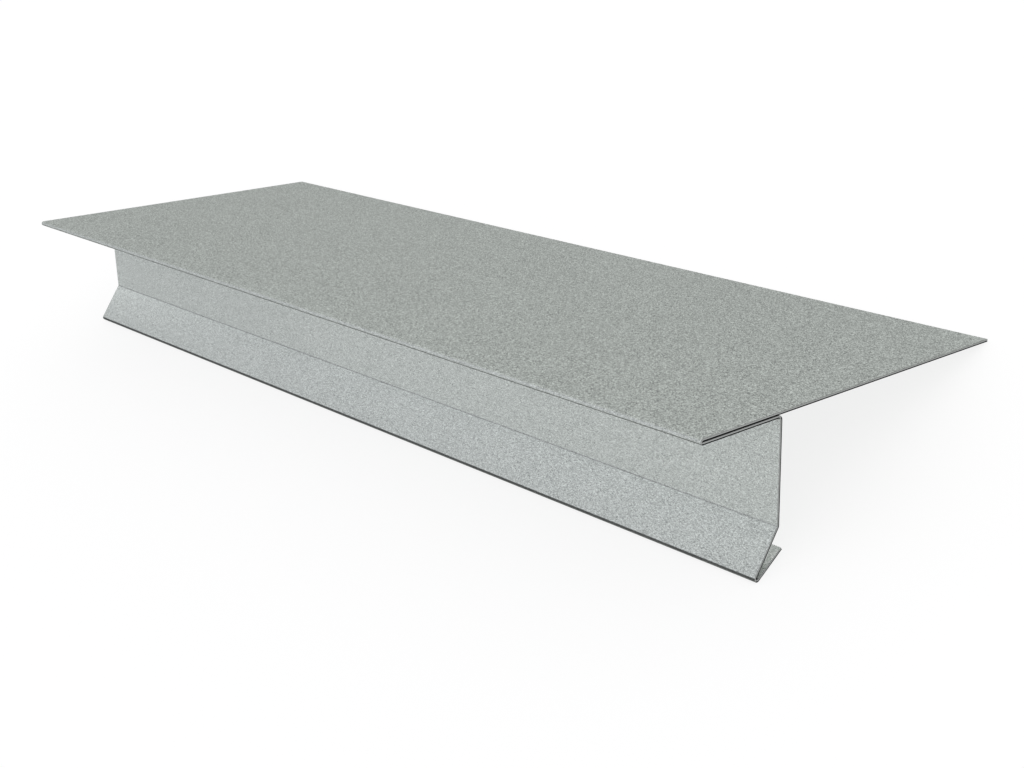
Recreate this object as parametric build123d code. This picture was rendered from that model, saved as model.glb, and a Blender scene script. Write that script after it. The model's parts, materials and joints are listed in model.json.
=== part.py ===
from build123d import *
from math import asin, atan2, degrees, radians, tan
import os

# A short sample of T-style drip edge: one strip of galvanised sheet steel, bent and folded
# along its whole length. The section is drawn as it is nailed on a roof: Y runs back up the
# roof and Z is up, with the top of the roof flange at z = 0 and the front of the leg at y = 0.

# Strip
length = 300.0           # along the eaves, X
thickness = 0.65

# Roof flange, and the nose that it folds down to in front
flange_width = 101.6     # front of the nose to the flange's back edge
overhang = 24.5          # front of the nose to the front of the leg
nose_gap = 0.1           # left inside the closed fold

# Leg down the fascia
drop = 26.2              # top of the flange to the crease at the leg's foot
corner_radius = 0.6      # inside the bend at the leg's top

# Kick that throws the water clear of the wall
kick_angle = 35.0        # out of the leg's plane
kick_length = 12.8       # crease to the foot of the kick
kick_radius = 0.6        # inside the crease

# Open hem that stiffens the kick's foot
hem_opening_angle = 20.0    # left between the kick's back and the hem
hem_length = 9.9            # foot of the kick to the hem's free edge
hem_radius = 0.25           # inside the fold

# The four bends, from the flange's back edge to the hem: nose, corner, crease and hem
turn_angles = [180, -90, -kick_angle, 180 - hem_opening_angle]    # left is positive
inside_radii = [nose_gap / 2, corner_radius, kick_radius, hem_radius]

# The five flats before, between and after the bends
back_edge = flange_width - overhang
nose_outer_radius = nose_gap / 2 + thickness
hem_outer_radius = hem_radius + thickness
crease_setback = kick_radius * tan(radians(kick_angle / 2))
flats = [
    flange_width - nose_outer_radius,
    overhang - nose_outer_radius - corner_radius,
    drop - 2 * nose_outer_radius - corner_radius - crease_setback,
    kick_length - crease_setback - hem_outer_radius,
    hem_length - hem_outer_radius,
]


def sheet_line(offset):
    """The lines and arcs that run along the sheet, this far left of its middle."""
    heading = Vector(-1, 0)
    start = Vector(back_edge, -thickness / 2) + heading.rotate(Axis.Z, 90) * offset
    line = [Line(start, start + heading * flats[0])]
    for turn, inside_radius, flat in zip(turn_angles, inside_radii, flats[1:]):
        middle_radius = inside_radius + thickness / 2
        radius = middle_radius - offset if turn > 0 else middle_radius + offset
        line.append(JernArc(line[-1] @ 1, heading, radius, turn))
        heading = heading.rotate(Axis.Z, turn)
        line.append(Line(line[-1] @ 1, line[-1] @ 1 + heading * flat))
    return line


def sheet_section():
    """The sheet's section: its inner and outer sides, joined across the two cut edges.

    The flange's underside is drawn in two stretches that meet over the leg's back, so that
    what lies on the roof deck is a face of its own, apart from what the nose folds shut.
    """
    flange_underside, *folds = sheet_line(thickness / 2)
    outside = sheet_line(-thickness / 2)
    over_leg = Vector(thickness, -thickness)
    on_deck = Line(flange_underside @ 0, over_leg)
    in_nose = Line(over_leg, flange_underside @ 1)
    back_cut = Line(flange_underside @ 0, outside[0] @ 0)
    hem_cut = Line(folds[-1] @ 1, outside[-1] @ 1)
    return make_face([on_deck, in_nose, *folds, hem_cut, *outside, back_cut])


def resting_tilt():
    """How far the loose strip tips back, until its flange's back edge meets the floor."""
    outside = sheet_line(-thickness / 2)
    hem_fold = outside[-2]
    hem_tip = outside[-1] @ 1
    back_corner = Vector(back_edge, -thickness)
    from_fold = back_corner - hem_fold.arc_center
    from_tip = back_corner - hem_tip
    lean_on_fold = atan2(from_fold.Y, from_fold.X) + asin(hem_outer_radius / from_fold.length)
    lean_on_tip = atan2(from_tip.Y, from_tip.X)
    return degrees(max(lean_on_fold, lean_on_tip))


def drip_edge():
    """The strip as it lies loose on a level floor, its origin under the middle of its box."""
    strip = extrude(Plane.YZ * sheet_section(), length, clean=False)
    resting = Rot(X=-resting_tilt()) * strip
    box = resting.bounding_box()
    return Pos(-box.center().X, -box.center().Y, -box.min.Z) * resting


os.makedirs("parts", exist_ok=True)
export_step(drip_edge(), "parts/drip_edge.step")
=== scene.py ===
import json
from math import asin, ceil, cos, pi, radians, sin, tan

import bpy
from mathutils import Euler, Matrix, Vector


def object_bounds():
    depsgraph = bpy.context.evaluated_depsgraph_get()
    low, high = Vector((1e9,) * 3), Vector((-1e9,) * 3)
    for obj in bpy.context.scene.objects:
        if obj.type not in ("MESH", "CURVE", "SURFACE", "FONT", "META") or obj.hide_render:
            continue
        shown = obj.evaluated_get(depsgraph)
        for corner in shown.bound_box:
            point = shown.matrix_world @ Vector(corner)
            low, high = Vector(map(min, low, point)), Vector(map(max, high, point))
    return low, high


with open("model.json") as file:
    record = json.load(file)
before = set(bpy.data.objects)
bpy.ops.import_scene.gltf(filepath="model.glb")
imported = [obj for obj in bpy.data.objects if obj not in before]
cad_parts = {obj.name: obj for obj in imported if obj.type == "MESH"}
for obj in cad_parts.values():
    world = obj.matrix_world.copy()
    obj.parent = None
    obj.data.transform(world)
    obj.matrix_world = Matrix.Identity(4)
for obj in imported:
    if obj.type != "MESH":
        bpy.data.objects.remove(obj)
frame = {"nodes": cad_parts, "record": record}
cad_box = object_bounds()

# The strip: one length of hot-dip galvanised sheet steel with no joints or holes. It is folded
# flat on itself at the nose, bent square into the leg, kicked out at its foot and folded back
# there into an open hem. It lies loose, tipped back on the hem's fold and the flange's back edge.
strip = frame["nodes"]["drip_edge"]

# The section in mm as it is nailed on a roof: Y back up the roof and Z up, with the flange's
# top at z = 0 and the leg's front at y = 0
mm = 0.001
half_length = cad_box[1].x / mm
sheet_thickness = 0.65
flange_width = 101.6
overhang = 24.5
nose_radius = 0.7
drop = 26.2
bend_radius = 0.6
kick_angle = radians(35)
kick_length = 12.8
hem_opening = radians(20)
hem_length = 9.9
hem_radius = 0.9
back_edge = flange_width - overhang
half_sheet = sheet_thickness / 2
crease_setback = bend_radius * tan(kick_angle / 2)

# How the loose strip lies, in metres: tipped back by the angle that its deck face says
deck_face = [m for m in frame["record"]["mounts"] if m["name"] == "deck_face"][0]
tip_back = asin(-deck_face["axis"][1])
lies_at = (
    0,
    cad_box[1].y - mm * back_edge * cos(tip_back),
    mm * (back_edge * sin(tip_back) + sheet_thickness * cos(tip_back)),
)


def linear(hex_colour):
    """sRGB hex to a linear colour with alpha."""
    parts = [int(hex_colour[i:i + 2], 16) / 255 for i in (1, 3, 5)]
    return [c / 12.92 if c <= 0.04045 else ((c + 0.055) / 1.055) ** 2.4 for c in parts] + [1.0]


def add(tree, kind, settings={}, values={}, links={}):
    """A node with its settings, its sockets' values, and the sockets that feed it."""
    node = tree.nodes.new(kind)
    for name, value in settings.items():
        setattr(node, name, value)
    for socket, value in values.items():
        node.inputs[socket].default_value = value
    for socket, source in links.items():
        tree.links.new(source, node.inputs[socket])
    return node


def sheet_middle():
    """The middle of the sheet from the flange's back edge to the hem's free edge, as (y, z) in
    mm, each bend as a few chords."""
    flats = [
        flange_width - nose_radius,
        overhang - nose_radius - bend_radius,
        drop - 2 * nose_radius - bend_radius - crease_setback,
        kick_length - crease_setback - hem_radius,
        hem_length - hem_radius,
    ]
    turns = [pi, -pi / 2, -kick_angle, pi - hem_opening, 0]
    middle_radii = [
        nose_radius - half_sheet,
        bend_radius + half_sheet,
        bend_radius + half_sheet,
        hem_radius - half_sheet,
        0,
    ]
    chord_turn = radians(45)
    at, heading = Vector((back_edge, -half_sheet)), pi
    points = [at.copy()]
    for flat, turn, radius in zip(flats, turns, middle_radii):
        at += flat * Vector((cos(heading), sin(heading)))
        points.append(at.copy())
        chords = ceil(abs(turn) / chord_turn)
        for _ in range(chords):
            step = turn / chords
            chord = 2 * radius * sin(abs(step) / 2)
            at += chord * Vector((cos(heading + step / 2), sin(heading + step / 2)))
            heading += step
            points.append(at.copy())
    return points


# Hot-dip galvanised steel with a minimised spangle: zinc that froze into crystals of a tenth to
# a third of a millimetre, each with its own shade and gloss, then dulled by a thin oxide film.
# The eye gets a matt, even light grey with a fine grain, less bright at a grazing angle.
zinc = bpy.data.materials.new("galvanised_zinc_minimised_spangle")
zinc.use_nodes = True
tree = zinc.node_tree
tree.nodes.clear()
place = add(tree, "ShaderNodeTexCoord")
in_section = add(
    tree,
    "ShaderNodeMapping",
    {"vector_type": "TEXTURE"},
    {"Location": lies_at, "Rotation": (-tip_back, 0, 0), "Scale": (mm, mm, mm)},
    {"Vector": place.outputs["Object"]},
)

# Crystals, drawn coarser along the flange than up the leg so that both show their grain
crystal_mm = (0.24, 0.24, 0.06)
darkest, lightest = 0.43, 1.57
crystal_place = add(
    tree,
    "ShaderNodeVectorMath",
    {"operation": "DIVIDE"},
    {1: crystal_mm},
    {0: in_section.outputs[0]},
)
crystals = add(
    tree,
    "ShaderNodeTexVoronoi",
    {"feature": "F1"},
    {"Scale": 1.0},
    {"Vector": crystal_place.outputs[0]},
)
crystal = add(tree, "ShaderNodeSeparateColor", links={"Color": crystals.outputs["Color"]})
shade = add(
    tree,
    "ShaderNodeMapRange",
    values={"To Min": darkest, "To Max": lightest},
    links={"Value": crystal.outputs["Red"]},
)

# Broad, faint clouds where the zinc ran a little thicker or thinner off the bath's air knife
cloud_mm = 30
cloud_depth = 0.03
cloud_place = add(
    tree,
    "ShaderNodeVectorMath",
    {"operation": "SCALE"},
    {"Scale": 1 / cloud_mm},
    {0: in_section.outputs[0]},
)
clouds = add(
    tree,
    "ShaderNodeTexNoise",
    values={"Scale": 1.0, "Detail": 3.0},
    links={"Vector": cloud_place.outputs[0]},
)
cloud_shade = add(
    tree,
    "ShaderNodeMapRange",
    values={"To Min": 1 - cloud_depth, "To Max": 1 + cloud_depth},
    links={"Value": clouds.outputs[0]},
)
skin_shade = add(
    tree,
    "ShaderNodeMath",
    {"operation": "MULTIPLY"},
    links={0: shade.outputs[0], 1: cloud_shade.outputs[0]},
)

# Where the nose's fold, the crease and the hem's fold are in the section
crease = Vector((0, -drop))
kick_heading = Vector((-sin(kick_angle), -cos(kick_angle)))
kick_back = Vector((cos(kick_angle), -sin(kick_angle)))
nose_middle = Vector((nose_radius - overhang, -nose_radius))
hem_middle = crease + (kick_length - hem_radius) * kick_heading + hem_radius * kick_back


def on_fold(middle, radius, degrees_down):
    """The place on a fold's outside that is so far round below its foremost line."""
    down = radians(degrees_down)
    return middle - radius * Vector((cos(down), sin(down)))


# Painted shade at the bends, which darkens the skin's colour: a little over the nose, which tones
# down its highlight, a fine line under the nose and another along the crease, and a painted
# shadow under the foot's fold where it meets the floor. Each mark has its place, the mm within
# which it is full and beyond which it is gone, and the share of the shade that it leaves.
painted_shade_marks = [
    # painted shade that tones down the nose's highlight
    (on_fold(nose_middle, nose_radius, -20), 0.25, 0.6, 0.9),
    # a fine painted shade line under the nose
    (on_fold(nose_middle, nose_radius, 42), 0.12, 0.3, 0.3),
    # a fine painted shade line in the crease
    (crease, 0.08, 0.26, 0.6),
    # painted shadow under the foot's fold, where it rests on the floor
    (on_fold(hem_middle, hem_radius, 60), 1.0, 1.25, 0.18),
]
flat_place = add(
    tree,
    "ShaderNodeVectorMath",
    {"operation": "MULTIPLY"},
    {1: (0, 1, 1)},
    {0: in_section.outputs[0]},
)
for at, full_mm, none_mm, left_over in painted_shade_marks:
    away = add(
        tree,
        "ShaderNodeVectorMath",
        {"operation": "DISTANCE"},
        {1: (0, at.x, at.y)},
        {0: flat_place.outputs[0]},
    )
    mark = add(
        tree,
        "ShaderNodeMapRange",
        {"interpolation_type": "SMOOTHSTEP"},
        {"From Min": full_mm, "From Max": none_mm, "To Min": left_over, "To Max": 1.0},
        {"Value": away.outputs["Value"]},
    )
    skin_shade = add(
        tree,
        "ShaderNodeMath",
        {"operation": "MULTIPLY"},
        links={0: skin_shade.outputs[0], 1: mark.outputs[0]},
    )

# Painted light on the kick beside its crease, fading into painted shade towards its foot
by_crease, by_foot = 1.13, 0.935
down_kick = add(
    tree,
    "ShaderNodeVectorMath",
    {"operation": "DOT_PRODUCT"},
    {1: (0, kick_heading.x, kick_heading.y)},
    {0: in_section.outputs[0]},
)
crease_at = crease.dot(kick_heading)
kick_painted_light = add(
    tree,
    "ShaderNodeMapRange",
    values={
        "From Min": crease_at,
        "From Max": crease_at + kick_length,
        "To Min": by_crease,
        "To Max": by_foot,
    },
    links={"Value": down_kick.outputs["Value"]},
)
below_crease = add(
    tree,
    "ShaderNodeMath",
    {"operation": "GREATER_THAN"},
    {1: crease_at},
    {0: down_kick.outputs["Value"]},
)
kick_shade = add(
    tree,
    "ShaderNodeMix",
    {"data_type": "FLOAT"},
    {2: 1.0},
    {0: below_crease.outputs[0], 3: kick_painted_light.outputs[0]},
)
skin_shade = add(
    tree,
    "ShaderNodeMath",
    {"operation": "MULTIPLY"},
    links={0: skin_shade.outputs[0], 1: kick_shade.outputs[0]},
)

# The sheared edges. The blade came down and back through the folded section. It rolled the zinc
# over the near face, burnished the steel below it and tore the rest, so each cut runs from a dull
# rim through a bright band to a dark, rough one. How deep a point lies in the sheet comes from
# the nearest stretch of the sheet's middle.
blade_way = Vector((0.5, -0.87))
points = sheet_middle()
nearest, depth = None, None
for start, end in zip(points, points[1:]):
    along = (end - start).normalized()
    far_side = Vector((-along.y, along.x))
    if far_side.dot(blade_way) < 0:
        far_side = -far_side
    from_start = add(
        tree,
        "ShaderNodeVectorMath",
        {"operation": "SUBTRACT"},
        {1: (0, start.x, start.y)},
        {0: flat_place.outputs[0]},
    )
    run = add(
        tree,
        "ShaderNodeVectorMath",
        {"operation": "DOT_PRODUCT"},
        {1: (0, along.x, along.y)},
        {0: from_start.outputs[0]},
    )
    in_run = add(
        tree,
        "ShaderNodeClamp",
        values={"Min": 0, "Max": (end - start).length},
        links={"Value": run.outputs["Value"]},
    )
    on_middle = add(
        tree,
        "ShaderNodeVectorMath",
        {"operation": "SCALE"},
        {0: (0, along.x, along.y)},
        {"Scale": in_run.outputs[0]},
    )
    off = add(
        tree,
        "ShaderNodeVectorMath",
        {"operation": "DISTANCE"},
        links={0: from_start.outputs[0], 1: on_middle.outputs[0]},
    )
    side = add(
        tree,
        "ShaderNodeVectorMath",
        {"operation": "DOT_PRODUCT"},
        {1: (0, far_side.x, far_side.y)},
        {0: from_start.outputs[0]},
    )
    if nearest is None:
        nearest, depth = off.outputs["Value"], side.outputs["Value"]
        continue
    is_nearer = add(
        tree,
        "ShaderNodeMath",
        {"operation": "LESS_THAN"},
        links={0: off.outputs["Value"], 1: nearest},
    )
    depth = add(
        tree,
        "ShaderNodeMix",
        {"data_type": "FLOAT"},
        links={0: is_nearer.outputs[0], 2: depth, 3: side.outputs["Value"]},
    ).outputs[0]
    nearest = add(
        tree,
        "ShaderNodeMath",
        {"operation": "MINIMUM"},
        links={0: off.outputs["Value"], 1: nearest},
    ).outputs[0]
through = add(
    tree,
    "ShaderNodeMapRange",
    values={"From Min": -half_sheet, "From Max": half_sheet},
    links={"Value": depth},
)
burnished_from, burnished_to, torn_from = 0.18, 0.55, 0.62
burnished_rough, torn_rough = 0.45, 0.85
cut_zones = add(tree, "ShaderNodeValToRGB", links={"Fac": through.outputs[0]})
rim, torn = cut_zones.color_ramp.elements
rim.color = linear("#505251")
torn.color = linear("#1A1B1B")
for share, colour in [
    (burnished_from, "#A6A8A7"),
    (burnished_to, "#A6A8A7"),
    (torn_from, "#242525"),
]:
    cut_zones.color_ramp.elements.new(share).color = linear(colour)
cut_rough = add(
    tree,
    "ShaderNodeMapRange",
    values={
        "From Min": burnished_to,
        "From Max": torn_from,
        "To Min": burnished_rough,
        "To Max": torn_rough,
    },
    links={"Value": through.outputs[0]},
)

# Painted light inside the hem, up the kick's back and along the lip, lifting the shade in the
# fold.
# What is inside lies below the crease, behind the middle of the kick's sheet and above the
# middle of the lip's.
painted_hem_light = 2.1
hem_heading = (points[-1] - points[-2]).normalized()
hem_up = Vector((-hem_heading.y, hem_heading.x))
in_hem = below_crease
for at, way in [(crease + half_sheet * kick_back, kick_back), (points[-1], hem_up)]:
    height = add(
        tree,
        "ShaderNodeVectorMath",
        {"operation": "DOT_PRODUCT"},
        {1: (0, way.x, way.y)},
        {0: in_section.outputs[0]},
    )
    is_past = add(
        tree,
        "ShaderNodeMath",
        {"operation": "GREATER_THAN"},
        {1: at.dot(way)},
        {0: height.outputs["Value"]},
    )
    in_hem = add(
        tree,
        "ShaderNodeMath",
        {"operation": "MULTIPLY"},
        links={0: in_hem.outputs[0], 1: is_past.outputs[0]},
    )
# painted light: the skin's colour inside the hem is raised by this factor
bright = add(
    tree,
    "ShaderNodeMapRange",
    values={"To Min": 1.0, "To Max": painted_hem_light},
    links={"Value": in_hem.outputs[0]},
)
skin_shade = add(
    tree,
    "ShaderNodeMath",
    {"operation": "MULTIPLY"},
    links={0: skin_shade.outputs[0], 1: bright.outputs[0]},
)
skin_colour = add(
    tree,
    "ShaderNodeMix",
    {"data_type": "RGBA", "blend_type": "MULTIPLY", "clamp_result": True},
    {0: 1.0, 6: linear("#B6BBB7")},
    {7: skin_shade.outputs[0]},
)

# Where the cuts are: both ends, the flange's back edge and the hem's free edge
cut_skin_mm = 0.02
axes = add(tree, "ShaderNodeSeparateXYZ", links={0: in_section.outputs[0]})
from_middle = add(tree, "ShaderNodeMath", {"operation": "ABSOLUTE"}, links={0: axes.outputs["X"]})
at_ends = add(
    tree,
    "ShaderNodeMath",
    {"operation": "GREATER_THAN"},
    {1: half_length - cut_skin_mm},
    {0: from_middle.outputs[0]},
)
at_back = add(
    tree,
    "ShaderNodeMath",
    {"operation": "GREATER_THAN"},
    {1: back_edge - cut_skin_mm},
    {0: axes.outputs["Y"]},
)
past_tip = add(
    tree,
    "ShaderNodeVectorMath",
    {"operation": "DOT_PRODUCT"},
    {1: (0, hem_heading.x, hem_heading.y)},
    {0: in_section.outputs[0]},
)
beyond = add(
    tree,
    "ShaderNodeMath",
    {"operation": "GREATER_THAN"},
    {1: points[-1].dot(hem_heading) - cut_skin_mm},
    {0: past_tip.outputs["Value"]},
)
from_tip = add(
    tree,
    "ShaderNodeVectorMath",
    {"operation": "DISTANCE"},
    {1: (0, points[-1].x, points[-1].y)},
    {0: flat_place.outputs[0]},
)
near_tip = add(
    tree,
    "ShaderNodeMath",
    {"operation": "LESS_THAN"},
    {1: sheet_thickness},
    {0: from_tip.outputs["Value"]},
)
at_hem = add(
    tree,
    "ShaderNodeMath",
    {"operation": "MULTIPLY"},
    links={0: beyond.outputs[0], 1: near_tip.outputs[0]},
)
at_edges = add(
    tree,
    "ShaderNodeMath",
    {"operation": "MAXIMUM"},
    links={0: at_back.outputs[0], 1: at_hem.outputs[0]},
)
is_cut = add(
    tree,
    "ShaderNodeMath",
    {"operation": "MAXIMUM"},
    links={0: at_ends.outputs[0], 1: at_edges.outputs[0]},
)
surface_colour = add(
    tree,
    "ShaderNodeMix",
    {"data_type": "RGBA"},
    links={0: is_cut.outputs[0], 6: skin_colour.outputs[2], 7: cut_zones.outputs[0]},
)
glossiest, dullest = 0.46, 0.54
skin_rough = add(
    tree,
    "ShaderNodeMapRange",
    values={"To Min": glossiest, "To Max": dullest},
    links={"Value": crystal.outputs["Green"]},
)
surface_rough = add(
    tree,
    "ShaderNodeMix",
    {"data_type": "FLOAT"},
    links={0: is_cut.outputs[0], 2: skin_rough.outputs[0], 3: cut_rough.outputs[0]},
)

# The crystals stand a few thousandths of a millimetre proud of the grooves between them
relief_mm = 0.004
relief = add(
    tree,
    "ShaderNodeBump",
    {"invert": True},
    {"Strength": 1.0, "Distance": relief_mm * mm},
    {"Height": crystals.outputs["Distance"]},
)
steel = add(
    tree,
    "ShaderNodeBsdfPrincipled",
    values={"Metallic": 1.0, "Specular Tint": linear("#BCBCBC")},
    links={
        "Base Color": surface_colour.outputs[2],
        "Roughness": surface_rough.outputs[0],
        "Normal": relief.outputs[0],
    },
)
add(tree, "ShaderNodeOutputMaterial", links={"Surface": steel.outputs[0]})
strip.material_slots[0].material = zinc

# The floor: a seamless sheet of white studio paper, wide enough to have no edge in any view.
# Seen directly or in the metal it is lifted to white, so that only the strip's soft shadow
# shows: most of it is the paper's own light, and the rest is the light that falls on it.
half_floor = 20
own_light = 0.8
floor_mesh = bpy.data.meshes.new("studio_floor")
corners = [(-1, -1), (1, -1), (1, 1), (-1, 1)]
floor_mesh.from_pydata(
    [(half_floor * x, half_floor * y, 0) for x, y in corners], [], [(0, 1, 2, 3)]
)
floor = bpy.data.objects.new("studio_floor", floor_mesh)
bpy.context.scene.collection.objects.link(floor)

paper = bpy.data.materials.new("white_studio_paper")
paper.use_nodes = True
tree = paper.node_tree
tree.nodes.clear()
light_path = add(tree, "ShaderNodeLightPath")
seen = add(
    tree,
    "ShaderNodeMath",
    {"operation": "MAXIMUM"},
    links={0: light_path.outputs["Is Camera Ray"], 1: light_path.outputs["Is Glossy Ray"]},
)
backdrop = add(
    tree,
    "ShaderNodeMath",
    {"operation": "MAXIMUM"},
    links={0: seen.outputs[0], 1: light_path.outputs["Is Transmission Ray"]},
)
matt = add(tree, "ShaderNodeBsdfDiffuse", values={"Color": linear("#E6E6E6")})
shaded = add(tree, "ShaderNodeBsdfDiffuse", values={"Color": linear("#7C7C7C")})
lift = add(
    tree,
    "ShaderNodeEmission",
    values={"Color": linear("#FFFFFF"), "Strength": own_light},
)
white = add(tree, "ShaderNodeAddShader", links={0: shaded.outputs[0], 1: lift.outputs[0]})
both = add(
    tree,
    "ShaderNodeMixShader",
    links={0: backdrop.outputs[0], 1: matt.outputs[0], 2: white.outputs[0]},
)
add(tree, "ShaderNodeOutputMaterial", links={"Surface": both.outputs[0]})
floor_mesh.materials.append(paper)

# The studio: white all round at the level where a colour renders as it is written, and one
# broad, slightly cool softbox low on the front left, which lifts the leg and the kick.
studio = bpy.data.worlds.new("white_studio")
bpy.context.scene.world = studio
studio.use_nodes = True
tree = studio.node_tree
tree.nodes.clear()
surround = add(
    tree,
    "ShaderNodeBackground",
    values={"Color": linear("#FFFFFF"), "Strength": 1.0},
)
add(tree, "ShaderNodeOutputWorld", links={"Surface": surround.outputs[0]})

to_softbox = Vector((-0.68, -0.58, 0.43))
softbox = bpy.data.lights.new("front_softbox", "SUN")
softbox.energy = 0.31
softbox.angle = radians(50)
softbox.color = linear("#ECE6FF")[:3]
softbox_object = bpy.data.objects.new("front_softbox", softbox)
softbox_object.rotation_euler = to_softbox.to_track_quat("Z", "Y").to_euler()
bpy.context.scene.collection.objects.link(softbox_object)

# The camera stands off the strip's right front corner, rolled with the strip's tip back, so
# that the flange looks level as it does in the photograph. Its place, turn, lens and shift come
# from a fit to the photograph's straight edges.
camera = bpy.data.cameras.new("camera")
camera.lens = 54.29
camera.shift_x = -0.09647
camera.shift_y = 0.02071
camera_object = bpy.data.objects.new("camera", camera)
camera_object.location = (0.347383, -0.198323, 0.223894)
camera_object.rotation_euler = Euler([radians(a) for a in (54.315, 17.3588, 43.586)])
bpy.context.scene.collection.objects.link(camera_object)
bpy.context.scene.camera = camera_object
bpy.context.scene.view_settings.view_transform = "Standard"
